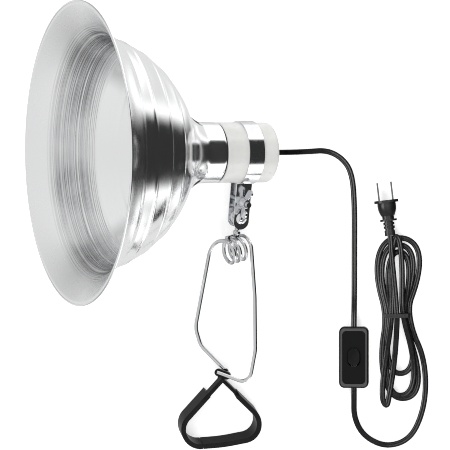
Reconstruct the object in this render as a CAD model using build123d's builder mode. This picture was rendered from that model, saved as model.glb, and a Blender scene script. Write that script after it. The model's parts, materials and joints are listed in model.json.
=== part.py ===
"""Clamp heat lamp: a spun aluminium reflector on a porcelain socket, with a strap bracket, a ball
swivel, a sprung wire clamp and a two-core cord with an inline switch and a plug.

The lamp lies on its side on a bench at Z = 0. It rests on the reflector's rim and on the rear of
the socket, so its axis is tilted. The mouth faces -X and up, and the clamp lies towards -Y.
Sizes are in millimetres.
"""
from build123d import *
from math import cos, pi, radians, sin, tan
import os

os.makedirs("parts", exist_ok=True)


# ---------------------------------------------------------------- driving dimensions
# Lamp axis: s runs back from the rim plane, r is the radius.
LAMP_TILT = 30.0
RIM_CENTRE = Vector(-54.25, 70.35, 116.93)

# Reflector
RIM_R = 133.35
RIM_BEAD_R = 1.0
SHEET = 0.8
BRIM_DEPTH = 27.0
BRIM_BASE_R = 104.0
DOME_END = (98.0, 44.0)
NECK_END = (118.0, 28.0)
COLLAR_END = 136.0
COLLAR_R = 27.6
COLLAR_HOLE_R = 17.8
VENT_COUNT = 3
VENT_LENGTH = 13.0
VENT_WIDTH = 6.0
VENT_S = 111.0
VENT_FIRST_TURN = 30.0

# Cord: flat twin lead, 5.2 wide
CORD_R = 2.6

# Porcelain socket
SOCKET_R = 27.6
GASKET_T = 1.2
SOCKET_FRONT = COLLAR_END + GASKET_T
SOCKET_SPLIT = 168.0
SOCKET_REAR = 189.0
CAP_WALL = 4.5
CAP_EDGE_R = 4.2
BODY_EDGE_R = 1.2
BOSS_R = 17.5
BOSS_FRONT = 127.0
CLAMP_RING_R = 23.5
CLAMP_RING_T = 5.0
SHELL_R = 13.2
SHELL_WALL = 0.5
SHELL_FRONT = 130.0
SHELL_LENGTH = 24.0
CHAMBER_R = 19.0
DISC_T = 3.0
TERMINAL_SPACING = 16.0
TERMINAL_T = 0.8
TERMINAL_HEAD_R = 3.0
TERMINAL_HEAD_H = 2.0
SCREW_OFFSET = 21.5
BUSHING_R = 4.0
BUSHING_NOSE = 0.4
BUSHING_FRONT = SOCKET_REAR - 7.0
BUSHING_END = SOCKET_REAR + 1.0
BUSHING_BORE = CORD_R - 0.6
BUSHING_FLANGE_R = BUSHING_R + 1.4
CAP_SCREW_FRONT = SOCKET_FRONT + 4.0
CAP_SCREW_END = SOCKET_SPLIT + 10.5

# Strap bracket
STRAP_S = 165.0
STRAP_WIDTH = 15.0
STRAP_T = 1.2
STRAP_CLEARANCE = 0.06
HANG_ROLL = 14.5
EAR_GAP = 11.5
EAR_LENGTH = 71.0
BOLT_Q = 45.0
BOLT_R = 2.5
BOLT_RUNNING_FIT = 0.06
BOLT_TAIL = 13.0
HEAD_R = 5.2
HEAD_H = 3.0
BALL_Q = 60.5
BALL_R = 7.5
SEAT_CLEARANCE = 0.05
WASHER_T = 1.0
WASHER_R = 5.6
NUT_HEIGHT = 7.5
NUT_R = 4.8
WING_T = 2.2
WING_SPAN = 13.5
WING_ROLL = 12.0

# Sprung clamp
WIRE_R = 1.75
COIL_CENTRE = Vector(76.5, -18.5, 16.8)
COIL_AXIS = Vector(0.76, 0.22, -0.61)
COIL_R = 10.9
COIL_PITCH = 6.6
COIL_TURNS = 3
STEM_R = 2.2

# Jaws: slanted strips standing on the bench
JAW_HEIGHT = 13.4
JAW_CANT = Vector(0.31, -0.33, 0.89)
SLEEVE_T = 4.5
NECK_T = 3.4
CORE_T = 2.0
LAYER_GAP = 0.4
CORNER_R = 15.5
JAW_GAP = 0.4

# Switch
SWITCH_CENTRE = (184.0, -120.2)
SWITCH_YAW = -1.3
SWITCH_W = 27.2
SWITCH_L = 56.2
SWITCH_SPLIT = 6.0
SWITCH_H = 14.0
SWITCH_CORNER = 5.0
SWITCH_WALL = 1.8
SWITCH_INSIDE = (SWITCH_W - 2 * SWITCH_WALL, SWITCH_L - 2 * SWITCH_WALL)
PANEL_W = 21.4
PANEL_L = 49.0
ROCKER_W = 11.4
ROCKER_L = 16.4
ROCKER_GAP = 0.8
ROCKER_PIVOT_Z = SWITCH_SPLIT + 3.2
ROCKER_REST_TILT = 6.0
PIN_R = 1.0
SWITCH_BEVEL = 1.4
SWITCH_TOP_WALL = 2.4
SWITCH_POSTS = (14.0, 34.0)
POST_R = 2.6
CONTACT_SPACING = 15.0
CONTACT_T = 0.8

# Plug
PLUG_CENTRE = (216.9, 24.0, 8.6)
PLUG_YAW = 5.4
BLADE_SPACING = 12.7
BLADE_LENGTH = 16.5
BLADE_WIDTH = 6.35
BLADE_T = 1.5
BLADE_ROOT = 12.0
RIB_PLACES = (-22.9, -26.2)

# Free cord, lamp to switch and switch to hank. Points chosen along the lie of the cord.
CORD_TO_SWITCH = [
    (110.29, 70.35, 21.93),
    (126.75, 70.35, 12.43),
    (145.5, 70.8, 3.6),
    (163.2, 71.8, 2.6),
    (177.3, 64.1, 2.6),
    (185.9, 50.2, 2.6),
    (187.7, 22.0, 2.6),
    (186.4, -26.0, 2.6),
    (185.6, -62.0, 2.8),
    (184.85, -83.0, 6.0),
    (184.62, -93.1, 6.0),
]
CORD_TO_HANK = [
    (183.39, -147.3, 6.0),
    (183.15, -158.0, 6.0),
    (182.6, -177.0, 2.7),
    (191.5, -194.5, 2.6),
    (212.0, -204.5, 2.6),
    (234.0, -197.5, 2.6),
    (246.0, -174.0, 2.6),
    (250.2, -146.0, 2.6),
    (247.4, -119.0, 2.6),
    (238.2, -97.6, 2.6),
]

# Hank of spare cord: outlines of its two lobes, with the tie between them
HANK_BASE = 0.8
HANK_HEIGHT = 13.0
TIE_Y = -82.6
TIE_T = 0.8
TIE_WIDTH = 3.8
TIE_X = 224.25
TIE_HALF = 10.45
HANK_UPPER = [(214.6, -84.0), (204.0, -36.0), (211.5, -9.65), (234.0, -7.53), (250.0, -26.0),
              (233.4, -84.0)]
HANK_UPPER_HOLE = [(221.0, -66.0), (214.5, -38.0), (219.0, -24.5), (233.0, -22.5), (238.6, -32.0),
                   (229.0, -66.0)]
HANK_LOWER = [(214.6, -81.0), (208.6, -120.0), (207.4, -164.0), (216.5, -164.0), (226.5, -158.5),
              (240.5, -146.0), (243.0, -118.0), (233.4, -81.0)]
HANK_LOWER_HOLE = [(223.5, -99.0), (219.0, -146.5), (231.0, -141.5), (234.0, -121.0), (227.5, -99.0)]


# ---------------------------------------------------------------- frames and helpers
tilt = radians(LAMP_TILT)
axis_back = Vector(cos(tilt), 0, -sin(tilt))
lamp_up = Vector(sin(tilt), 0, cos(tilt))
lamp_axis = Axis(RIM_CENTRE, axis_back)
lamp_profile = Plane(origin=RIM_CENTRE, x_dir=(0, 1, 0), z_dir=(-sin(tilt), 0, -cos(tilt)))

roll = radians(HANG_ROLL)
hang = Vector(0, -1, 0) * cos(roll) - lamp_up * sin(roll)
bolt_dir = hang.cross(axis_back)
strap_centre = RIM_CENTRE + axis_back * STRAP_S
bolt_centre = strap_centre + hang * BOLT_Q
ball_centre = strap_centre + hang * BALL_Q

coil_axis = COIL_AXIS.normalized()
coil_top = (Vector(0, 1, 0) - coil_axis * coil_axis.Y).normalized()
coil_length = COIL_PITCH * COIL_TURNS
stud_dir = (COIL_CENTRE - ball_centre).normalized()


def lamp_plane(s):
    """Plane square to the lamp axis, s behind the rim, with its normal pointing back."""
    return Plane(origin=RIM_CENTRE + axis_back * s, x_dir=(0, 1, 0), z_dir=axis_back)


def save(piece, name):
    piece.part.label = name
    export_step(piece.part, f"parts/{name}.step")


def lamp_outline(points):
    """A closed (r, s) outline in a plane through the lamp axis."""
    with BuildSketch(lamp_profile) as outline:
        with BuildLine():
            Polyline(*points, close=True)
        make_face()
    return outline.sketch


def tangent_radii(points):
    """Arc radius at each corner of a route: 0.45 of the shorter run over tan(half the turn)."""
    radii = []
    for before, here, after in zip(points, points[1:], points[2:]):
        first = Vector(here) - Vector(before)
        second = Vector(after) - Vector(here)
        half = radians(first.get_angle(second)) / 2
        radii.append(0.45 * min(first.length, second.length) / tan(half))
    return radii


def cord_tube(name, points):
    """A free cord: straight runs joined by tangent arcs."""
    radii = tangent_radii(points)
    with BuildPart() as tube:
        with BuildLine() as path:
            FilletPolyline(*points, radius=radii)
        with BuildSketch(Plane(origin=path.wire() @ 0, z_dir=path.wire() % 0)):
            Circle(CORD_R)
        sweep(path=path.wire())
    length = path.wire().length
    expected = pi * CORD_R ** 2 * length
    print(name, "length", round(length, 1), "volume ratio", round(tube.part.volume / expected, 4),
          "radii", [round(radius, 1) for radius in radii])
    save(tube, name)


# ---------------------------------------------------------------- reflector
def shell_edge(offset):
    """The reflector's wall line, moved in by offset: brim, dome, neck and collar."""
    rim = (RIM_R - offset, 0)
    brim_mid = (117.6 - offset, 12.0)
    brim_end = (BRIM_BASE_R - offset, BRIM_DEPTH - offset)
    dome_mid = (87.4 - offset * 0.75, 61.0 - offset * 0.7)
    dome_end = (DOME_END[1] - offset, DOME_END[0] - offset * 0.5)
    neck_mid = (35.0 - offset, 106.0)
    neck_end = (NECK_END[1] - offset, NECK_END[0])
    collar_end = (COLLAR_R - offset, COLLAR_END - offset)
    ThreePointArc(rim, brim_mid, brim_end)
    ThreePointArc(brim_end, dome_mid, dome_end)
    ThreePointArc(dome_end, neck_mid, neck_end)
    Line(neck_end, collar_end)
    Line(collar_end, (COLLAR_HOLE_R, COLLAR_END - offset))
    return rim, (COLLAR_HOLE_R, COLLAR_END - offset)


with BuildPart() as reflector:
    with BuildSketch(lamp_profile):
        with BuildLine():
            outer_rim, outer_end = shell_edge(0)
            inner_rim, inner_end = shell_edge(SHEET)
            Line(outer_rim, inner_rim)
            Line(outer_end, inner_end)
        make_face()
    revolve(axis=lamp_axis)
    with BuildSketch(lamp_profile):
        with Locations((RIM_R, RIM_BEAD_R * 0.9)):
            Circle(RIM_BEAD_R)
    revolve(axis=lamp_axis)
    # Vent slots through the neck cone, long way along the lamp axis
    for index in range(VENT_COUNT):
        turn = radians(VENT_FIRST_TURN + 360 / VENT_COUNT * index)
        out = Vector(0, 1, 0) * cos(turn) + lamp_up * sin(turn)
        vent_plane = Plane(origin=lamp_plane(VENT_S).origin + out * 22, x_dir=axis_back, z_dir=out)
        with BuildSketch(vent_plane):
            SlotOverall(VENT_LENGTH, VENT_WIDTH)
        extrude(amount=22, mode=Mode.SUBTRACT)
save(reflector, "reflector_shell")


# ---------------------------------------------------------------- porcelain socket
with BuildPart() as gasket:
    with BuildSketch(lamp_plane(COLLAR_END)):
        Circle(SOCKET_R - 1.2)
        Circle(BOSS_R + 0.3, mode=Mode.SUBTRACT)
    extrude(amount=GASKET_T)
save(gasket, "collar_gasket")

with BuildPart() as clamp_ring:
    with BuildSketch(lamp_plane(COLLAR_END - SHEET - CLAMP_RING_T)):
        Circle(CLAMP_RING_R)
        Circle(BOSS_R, mode=Mode.SUBTRACT)
    extrude(amount=CLAMP_RING_T)
    with BuildSketch(lamp_plane(COLLAR_END - SHEET - CLAMP_RING_T)):
        with PolarLocations(CLAMP_RING_R, 12):
            Circle(1.6)
    extrude(amount=CLAMP_RING_T, mode=Mode.SUBTRACT)
save(clamp_ring, "shade_ring")

shell_rear = SHELL_FRONT + SHELL_LENGTH
floor_s = shell_rear + DISC_T
with BuildPart() as socket_body:
    revolve(lamp_outline([
        (SHELL_R + SHELL_WALL, BOSS_FRONT), (BOSS_R, BOSS_FRONT), (BOSS_R, SOCKET_FRONT),
        (SOCKET_R, SOCKET_FRONT), (SOCKET_R, SOCKET_SPLIT), (0, SOCKET_SPLIT), (0, floor_s),
        (SHELL_R + SHELL_WALL, floor_s)]), axis=lamp_axis)
    front_rim = socket_body.edges().filter_by(GeomType.CIRCLE).filter_by(
        lambda edge: abs(edge.radius - SOCKET_R) < 0.01).sort_by(lamp_axis)[0]
    fillet(front_rim, radius=BODY_EDGE_R)
    with Locations(lamp_plane(floor_s)):
        with GridLocations(0, TERMINAL_SPACING, 1, 2):
            Hole(radius=1.6, depth=40)
        with PolarLocations(SCREW_OFFSET, 2):
            Cylinder(1.8, 60, mode=Mode.SUBTRACT)
        Hole(radius=1.3, depth=40)
save(socket_body, "socket_body")

with BuildPart() as socket_cap:
    revolve(lamp_outline([
        (CHAMBER_R, SOCKET_SPLIT), (SOCKET_R, SOCKET_SPLIT), (SOCKET_R, SOCKET_REAR),
        (BUSHING_R, SOCKET_REAR), (BUSHING_R, SOCKET_REAR - CAP_WALL),
        (CHAMBER_R, SOCKET_REAR - CAP_WALL)]), axis=lamp_axis)
    rear_rim = socket_cap.edges().filter_by(GeomType.CIRCLE).filter_by(
        lambda edge: abs(edge.radius - SOCKET_R) < 0.01).sort_by(lamp_axis)[-1]
    fillet(rear_rim, radius=CAP_EDGE_R)
    with Locations(lamp_plane(SOCKET_SPLIT)):
        with PolarLocations(SCREW_OFFSET, 2):
            Cylinder(1.5, 24, mode=Mode.SUBTRACT)
save(socket_cap, "socket_cap")

with BuildPart() as screw_shell:
    wall = SHELL_R + SHELL_WALL
    taper_start = shell_rear - 2.0
    revolve(lamp_outline([
        (SHELL_R, SHELL_FRONT), (wall, SHELL_FRONT), (wall, taper_start), (12.2, shell_rear),
        (9.0, shell_rear), (9.0, shell_rear - SHELL_WALL), (12.0, shell_rear - SHELL_WALL),
        (SHELL_R, taper_start)]), axis=lamp_axis)
save(screw_shell, "screw_shell")

with BuildPart() as contact_disc:
    with BuildSketch(lamp_plane(shell_rear)):
        Circle(SHELL_R)
        Circle(2.2, mode=Mode.SUBTRACT)
        with GridLocations(0, TERMINAL_SPACING, 1, 2):
            Circle(2.0, mode=Mode.SUBTRACT)
    extrude(amount=floor_s - shell_rear)
save(contact_disc, "contact_insulator")

with BuildPart() as centre_contact:
    head_s = shell_rear - 1.2
    with BuildSketch(lamp_plane(head_s)):
        Circle(4.0)
    extrude(amount=0.8)
    with BuildSketch(lamp_plane(head_s)):
        Circle(1.2)
    extrude(amount=SOCKET_SPLIT + 3.0 - head_s)
save(centre_contact, "centre_contact")

with BuildPart() as shell_rivets:
    with BuildSketch(lamp_plane(shell_rear - SHELL_WALL - 1.0)):
        with GridLocations(0, 20, 1, 2):
            Circle(1.0)
    extrude(amount=1.0)
save(shell_rivets, "shell_rivets")

with BuildPart() as terminal_plates:
    with BuildSketch(lamp_plane(SOCKET_SPLIT)):
        with GridLocations(0, TERMINAL_SPACING, 1, 2):
            Rectangle(7.0, 8.0)
            Circle(1.6, mode=Mode.SUBTRACT)
    extrude(amount=TERMINAL_T)
save(terminal_plates, "terminal_plates")

with BuildPart() as terminal_screws:
    with BuildSketch(lamp_plane(SOCKET_SPLIT - 6.0)):
        with GridLocations(0, TERMINAL_SPACING, 1, 2):
            Circle(1.5)
    extrude(amount=6.0 + TERMINAL_T)
    with BuildSketch(lamp_plane(SOCKET_SPLIT + TERMINAL_T)):
        with GridLocations(0, TERMINAL_SPACING, 1, 2):
            Circle(TERMINAL_HEAD_R)
    extrude(amount=TERMINAL_HEAD_H)
save(terminal_screws, "terminal_screws")

with BuildPart() as cap_screws:
    with BuildSketch(lamp_plane(CAP_SCREW_FRONT)):
        with PolarLocations(SCREW_OFFSET, 2):
            Circle(1.45)
    extrude(amount=CAP_SCREW_END - CAP_SCREW_FRONT)
save(cap_screws, "cap_screws")

with BuildPart() as bushing:
    revolve(lamp_outline([
        (BUSHING_BORE, BUSHING_FRONT), (BUSHING_FLANGE_R, BUSHING_FRONT),
        (BUSHING_FLANGE_R, SOCKET_REAR - CAP_WALL), (BUSHING_R, SOCKET_REAR - CAP_WALL),
        (BUSHING_R, SOCKET_REAR + BUSHING_NOSE), (BUSHING_R - BUSHING_NOSE, BUSHING_END),
        (BUSHING_BORE, BUSHING_END)]), axis=lamp_axis)
save(bushing, "cord_bushing")

with BuildPart() as socket_leads:
    for side in (-1, 1):
        start = RIM_CENTRE + axis_back * (BUSHING_FRONT) + Vector(0, side * 1.0, 0)
        end = RIM_CENTRE + axis_back * (SOCKET_SPLIT + TERMINAL_T + TERMINAL_HEAD_H + 1.0) + Vector(
            0, side * TERMINAL_SPACING / 2, 0)
        with BuildLine() as lead_path:
            Line(start, end)
        with BuildSketch(Plane(origin=start, z_dir=end - start)):
            Circle(0.85)
        sweep(path=lead_path.wire())
save(socket_leads, "socket_leads")


# ---------------------------------------------------------------- strap bracket
strap_plane = Plane(origin=strap_centre, x_dir=hang, z_dir=axis_back * -1)
strap_in = SOCKET_R + STRAP_CLEARANCE
strap_out = strap_in + STRAP_T
ear_out = EAR_GAP / 2 + STRAP_T
with BuildPart() as strap:
    with BuildSketch(strap_plane):
        Circle(strap_out)
        with Locations((EAR_LENGTH / 2, 0)):
            Rectangle(EAR_LENGTH, 2 * ear_out)
        Circle(strap_in, mode=Mode.SUBTRACT)
        with Locations((EAR_LENGTH / 2 + 5, 0)):
            Rectangle(EAR_LENGTH + 10, EAR_GAP, mode=Mode.SUBTRACT)
    extrude(amount=STRAP_WIDTH / 2, both=True)
    # Rounded ends of the two ears
    ear_face = Plane(origin=strap_centre, x_dir=hang, z_dir=bolt_dir)
    round_x = EAR_LENGTH - STRAP_WIDTH / 2
    with BuildSketch(ear_face):
        with Locations((EAR_LENGTH, 0)):
            Rectangle(STRAP_WIDTH, STRAP_WIDTH + 4)
        with Locations((round_x, 0)):
            Circle(STRAP_WIDTH / 2, mode=Mode.SUBTRACT)
    extrude(amount=20, both=True, mode=Mode.SUBTRACT)
    # Dished seats for the ball, pressed outwards in both ears
    with Locations(Plane(origin=ball_centre, x_dir=hang, z_dir=bolt_dir)):
        Sphere(BALL_R + SEAT_CLEARANCE + STRAP_T)
        Sphere(BALL_R + SEAT_CLEARANCE, mode=Mode.SUBTRACT)
        Box(40, 40, EAR_GAP, mode=Mode.SUBTRACT)
        Cylinder(3.0, 40, mode=Mode.SUBTRACT)
    with Locations(Plane(origin=bolt_centre, x_dir=hang, z_dir=bolt_dir)):
        Cylinder(BOLT_R + 0.1, 40, mode=Mode.SUBTRACT)
    split(bisect_by=lamp_plane(STRAP_S + STRAP_WIDTH / 2), keep=Keep.BOTTOM)
    split(bisect_by=lamp_plane(STRAP_S - STRAP_WIDTH / 2), keep=Keep.TOP)
save(strap, "strap_bracket")


def bolt_plane(height):
    return Plane(origin=bolt_centre + bolt_dir * height, x_dir=hang, z_dir=bolt_dir)


with BuildPart() as bolt:
    with BuildSketch(bolt_plane(-ear_out)):
        Circle(BOLT_R)
    extrude(amount=2 * ear_out + BOLT_TAIL)
    with BuildSketch(bolt_plane(-ear_out - HEAD_H)):
        Circle(HEAD_R)
    extrude(amount=HEAD_H)
    head_rim = bolt.edges().filter_by(GeomType.CIRCLE).sort_by(Axis(bolt_centre, bolt_dir))[0]
    fillet(head_rim, radius=2.2)
save(bolt, "clamp_bolt")

with BuildPart() as washer:
    with BuildSketch(bolt_plane(ear_out)):
        Circle(WASHER_R)
        Circle(BOLT_R + BOLT_RUNNING_FIT, mode=Mode.SUBTRACT)
    extrude(amount=WASHER_T)
save(washer, "washer")

nut_base = ear_out + WASHER_T
wing_angle = -radians(WING_ROLL)
wing_dir = hang * cos(wing_angle) + (axis_back * sin(wing_angle))
wing_face = Plane(origin=bolt_centre + bolt_dir * nut_base, x_dir=wing_dir, z_dir=wing_dir.cross(bolt_dir))
with BuildPart() as wing_nut:
    with BuildSketch(Plane(origin=bolt_centre + bolt_dir * nut_base, x_dir=hang, z_dir=bolt_dir)):
        Circle(NUT_R)
    extrude(amount=NUT_HEIGHT, taper=7)
    # Wings, drawn looking along their thin side
    with BuildSketch(wing_face):
        with BuildLine():
            Polyline((2.5, 0.6), (6.5, 1.6), (11.0, 3.6))
            ThreePointArc((11.0, 3.6), (WING_SPAN, 8.5), (10.5, 12.4))
            ThreePointArc((10.5, 12.4), (7.6, 11.6), (6.6, 8.6))
            Polyline((6.6, 8.6), (3.4, 6.6), (2.5, 6.4), (2.5, 0.6))
        make_face()
        mirror(about=Plane.YZ)
    extrude(amount=WING_T / 2, both=True)
    with Locations(bolt_plane(nut_base)):
        Cylinder(BOLT_R + BOLT_RUNNING_FIT, 60, mode=Mode.SUBTRACT)
save(wing_nut, "wing_nut")


# ---------------------------------------------------------------- ball swivel and coil spring
stud_plane = Plane(origin=ball_centre, x_dir=coil_axis, z_dir=stud_dir)
with BuildPart() as ball:
    with Locations(stud_plane):
        Sphere(BALL_R)
    with BuildSketch(stud_plane.offset(-1.0)):
        Circle(STEM_R + 0.05)
    extrude(amount=12, mode=Mode.SUBTRACT)
save(ball, "swivel_ball")

# The loop of the stud goes round the two middle turns of the coil, at its top.
loop_centre = COIL_CENTRE + coil_top * COIL_R
loop_along = coil_axis
loop_through = coil_axis.cross(coil_top)
loop_in_w = COIL_PITCH + 2 * (WIRE_R + 0.2)
loop_in_h = 2 * (WIRE_R + 0.35)
with BuildPart() as stud:
    with BuildSketch(Plane(origin=loop_centre, x_dir=loop_along, z_dir=loop_through)):
        RectangleRounded(loop_in_w + 2.0, loop_in_h + 2.4, 1.9)
        RectangleRounded(loop_in_w, loop_in_h, 1.6, mode=Mode.SUBTRACT)
    extrude(amount=2.6, both=True)
    stem_foot = loop_centre + coil_top * (loop_in_h / 2 + 0.6)
    stem_vector = stem_foot - ball_centre
    with BuildSketch(Plane(origin=ball_centre, z_dir=stud_dir)):
        Circle(STEM_R)
    extrude(amount=stem_vector.length - 2.5)
    with Locations(Plane(origin=ball_centre + stud_dir * (stem_vector.length - 3.4), x_dir=coil_axis,
                         z_dir=stud_dir)):
        Sphere(3.6)
    with BuildSketch(Plane(origin=loop_centre, x_dir=loop_along, z_dir=loop_through)):
        RectangleRounded(loop_in_w, loop_in_h, 1.6)
    extrude(amount=9, both=True, mode=Mode.SUBTRACT)
save(stud, "swivel_stud")

coil_start = COIL_CENTRE - coil_axis * (coil_length / 2)
coil_frame = Plane(origin=coil_start, x_dir=coil_top, z_dir=coil_axis)
coil_wire = coil_frame * Helix(pitch=COIL_PITCH, height=coil_length, radius=COIL_R)
with BuildPart() as coil:
    with BuildSketch(Plane(origin=coil_wire @ 0, z_dir=coil_wire % 0)):
        Circle(WIRE_R)
    sweep(path=coil_wire, is_frenet=True)
save(coil, "coil_spring")

near_end = coil_wire @ 0
far_end = coil_wire @ 1
near_way = (coil_wire % 0) * -1
far_way = coil_wire % 1
print("coil ends", near_end, near_way, far_end, far_way)


# ---------------------------------------------------------------- wire arms
def wire_arm(points, radii, name):
    with BuildPart() as arm:
        with BuildLine() as path:
            FilletPolyline(*points, radius=radii)
        with BuildSketch(Plane(origin=path.wire() @ 0, z_dir=path.wire() % 0)):
            Circle(WIRE_R)
        sweep(path=path.wire())
    save(arm, name)
    return arm


LEFT_ARM_END = (64.6, -131.6, 4.4)
RIGHT_ARM_END = (57.6, -131.6, 15.6)
left_points = [
    near_end, near_end + near_way * 18.0, (37.4, -90.5, 7.6), (41.6, -106.8, 6.4), LEFT_ARM_END]
right_points = [
    far_end, far_end + far_way * 14.0, (94.4, -62.0, 19.6), (93.6, -112.0, 17.6), (87.2, -143.0, 16.2),
    RIGHT_ARM_END]
left_arm = wire_arm(left_points, [17.0, 24.0, 18.0], "left_arm")
right_arm = wire_arm(right_points, [13.0, 80.0, 28.0, 9.0], "right_arm")


# ---------------------------------------------------------------- jaws
jaw_slant = JAW_CANT * (1 / JAW_CANT.Z)
MID_Z = JAW_HEIGHT / 2

# Centre line of the closed band at mid height
LEFT_TOP = Vector(46.9, -150.7)
LEFT_CORNER = Vector(-0.4, -200.7)
BAR_MID = Vector(59.7, -196.8)
RIGHT_CORNER = Vector(109.4, -187.7)
RIGHT_TOP = Vector(74.0, -152.2)
SPLIT_FROM_CORNER = 41.0
NECK_LENGTH = 20.0
CORE_INSET = 1.6
CORE_HEIGHT = JAW_HEIGHT - 2 * CORE_INSET
UPPER_LAYER = MID_Z + LAYER_GAP / 2
LOWER_LAYER = 0.2
LAYER_HEIGHT = MID_Z - LAYER_GAP / 2 - LOWER_LAYER
BAR_BEND_R = 150.0
CORE_END_GAP = JAW_GAP / 2 + 1.0

left_neck_dir = (LEFT_TOP - LEFT_CORNER).normalized()
right_neck_dir = (RIGHT_TOP - RIGHT_CORNER).normalized()
bar_dir = (BAR_MID - LEFT_CORNER).normalized()


def slanted(point, z):
    """A mid-height point of the jaws, followed along the cant to height z."""
    return (point.X + jaw_slant.X * (z - MID_Z), point.Y + jaw_slant.Y * (z - MID_Z))


def strip_face(points, radii, width, low):
    """The footprint, at height low, of a strip along a line of mid-height points."""
    with BuildSketch(Plane.XY.offset(low)) as footprint:
        with BuildLine():
            if radii:
                FilletPolyline(*[slanted(point, low) for point in points], radius=radii)
            else:
                Line(*[slanted(point, low) for point in points])
        trace(line_width=width)
    return footprint.sketch


def slanted_extrude(face, height, mode=Mode.ADD):
    """Extrude a level face along the cant of the jaws until it is height higher."""
    extrude(face, amount=height * JAW_CANT.length / JAW_CANT.Z, dir=tuple(JAW_CANT), mode=mode)


def left_line(end_gap):
    """The left jaw's line, which stops end_gap short of the split in the bar."""
    return [LEFT_TOP, LEFT_CORNER, LEFT_CORNER + bar_dir * (SPLIT_FROM_CORNER - end_gap)]


def right_line(end_gap):
    """The right jaw's line, which stops end_gap short of the split in the bar."""
    return [RIGHT_TOP, RIGHT_CORNER, BAR_MID, LEFT_CORNER + bar_dir * (SPLIT_FROM_CORNER + end_gap)]


def build_sleeve(line, radii, name):
    """A rubber sleeve: closed at the split, and hollow where the steel strip runs inside it."""
    with BuildPart() as sleeve:
        slanted_extrude(strip_face(line(JAW_GAP / 2), radii, SLEEVE_T, 0.0), JAW_HEIGHT)
        core = strip_face(line(CORE_END_GAP), radii, CORE_T, CORE_INSET)
        slanted_extrude(core, CORE_HEIGHT, Mode.SUBTRACT)
    save(sleeve, name)


LEFT_RADII = [CORNER_R]
RIGHT_RADII = [CORNER_R, BAR_BEND_R]
build_sleeve(left_line, LEFT_RADII, "left_jaw_sleeve")
build_sleeve(right_line, RIGHT_RADII, "right_jaw_sleeve")

SADDLE = [(58.4, -131.9), (66.2, -135.0)]
SADDLE_BASE = 9.2
PAD = [(60.6, -137.0), (64.2, -131.8)]
PAD_BASE = 0.4
with BuildPart() as left_jaw:
    slanted_extrude(strip_face(left_line(CORE_END_GAP), LEFT_RADII, CORE_T, CORE_INSET), CORE_HEIGHT)
    left_neck = [LEFT_TOP, LEFT_TOP + left_neck_dir * NECK_LENGTH]
    slanted_extrude(strip_face(left_neck, None, NECK_T, UPPER_LAYER), LAYER_HEIGHT)
    # Saddle that holds the end of the right wire arm
    with BuildSketch(Plane.XY.offset(SADDLE_BASE)):
        with Locations(SADDLE[0]):
            Circle(3.4)
        with Locations(SADDLE[1]):
            Circle(3.6)
        make_hull()
    extrude(amount=RIGHT_ARM_END[2] - SADDLE_BASE)
    add(right_arm.part, mode=Mode.SUBTRACT)
save(left_jaw, "left_jaw_strip")

with BuildPart() as right_jaw:
    slanted_extrude(strip_face(right_line(CORE_END_GAP), RIGHT_RADII, CORE_T, CORE_INSET), CORE_HEIGHT)
    right_neck = [RIGHT_TOP, RIGHT_TOP + right_neck_dir * NECK_LENGTH]
    slanted_extrude(strip_face(right_neck, None, NECK_T, LOWER_LAYER), LAYER_HEIGHT)
    # Pad that takes the end of the left wire arm
    with BuildSketch(Plane.XY.offset(PAD_BASE)):
        with Locations(PAD[0]):
            Circle(3.6)
        with Locations(PAD[1]):
            Circle(2.6)
        make_hull()
    extrude(amount=MID_Z - LAYER_GAP / 2 - PAD_BASE)
    add(left_arm.part, mode=Mode.SUBTRACT)
save(right_jaw, "right_jaw_strip")


# ---------------------------------------------------------------- cord, switch, hank and plug
cord_tube("cord_lamp_to_switch", CORD_TO_SWITCH)
cord_tube("cord_switch_to_hank", CORD_TO_HANK)

yaw = radians(SWITCH_YAW)
switch_x = (cos(yaw), sin(yaw), 0)


def switch_plane(z):
    return Plane(origin=(*SWITCH_CENTRE, z), x_dir=switch_x, z_dir=(0, 0, 1))


with BuildPart() as switch_base:
    with BuildSketch(switch_plane(0)):
        RectangleRounded(SWITCH_W, SWITCH_L, SWITCH_CORNER)
    extrude(amount=SWITCH_SPLIT)
    chamfer(switch_base.faces().sort_by(Axis.Z)[0].outer_wire().edges(), length=1.2)
    with BuildSketch(switch_plane(SWITCH_WALL)):
        RectangleRounded(*SWITCH_INSIDE, SWITCH_CORNER - SWITCH_WALL)
    extrude(amount=SWITCH_SPLIT, mode=Mode.SUBTRACT)
    with BuildSketch(switch_plane(SWITCH_WALL)):
        with GridLocations(*SWITCH_POSTS, 2, 2):
            Circle(POST_R)
    extrude(amount=SWITCH_SPLIT - SWITCH_WALL)
    with BuildSketch(switch_plane(0)):
        with GridLocations(*SWITCH_POSTS, 2, 2):
            Circle(1.2)
    extrude(amount=SWITCH_SPLIT, mode=Mode.SUBTRACT)
    with Locations(switch_plane(SWITCH_SPLIT)):
        Cylinder(CORD_R, SWITCH_L + 4, rotation=(90, 0, 0), mode=Mode.SUBTRACT)
save(switch_base, "switch_base")

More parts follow.
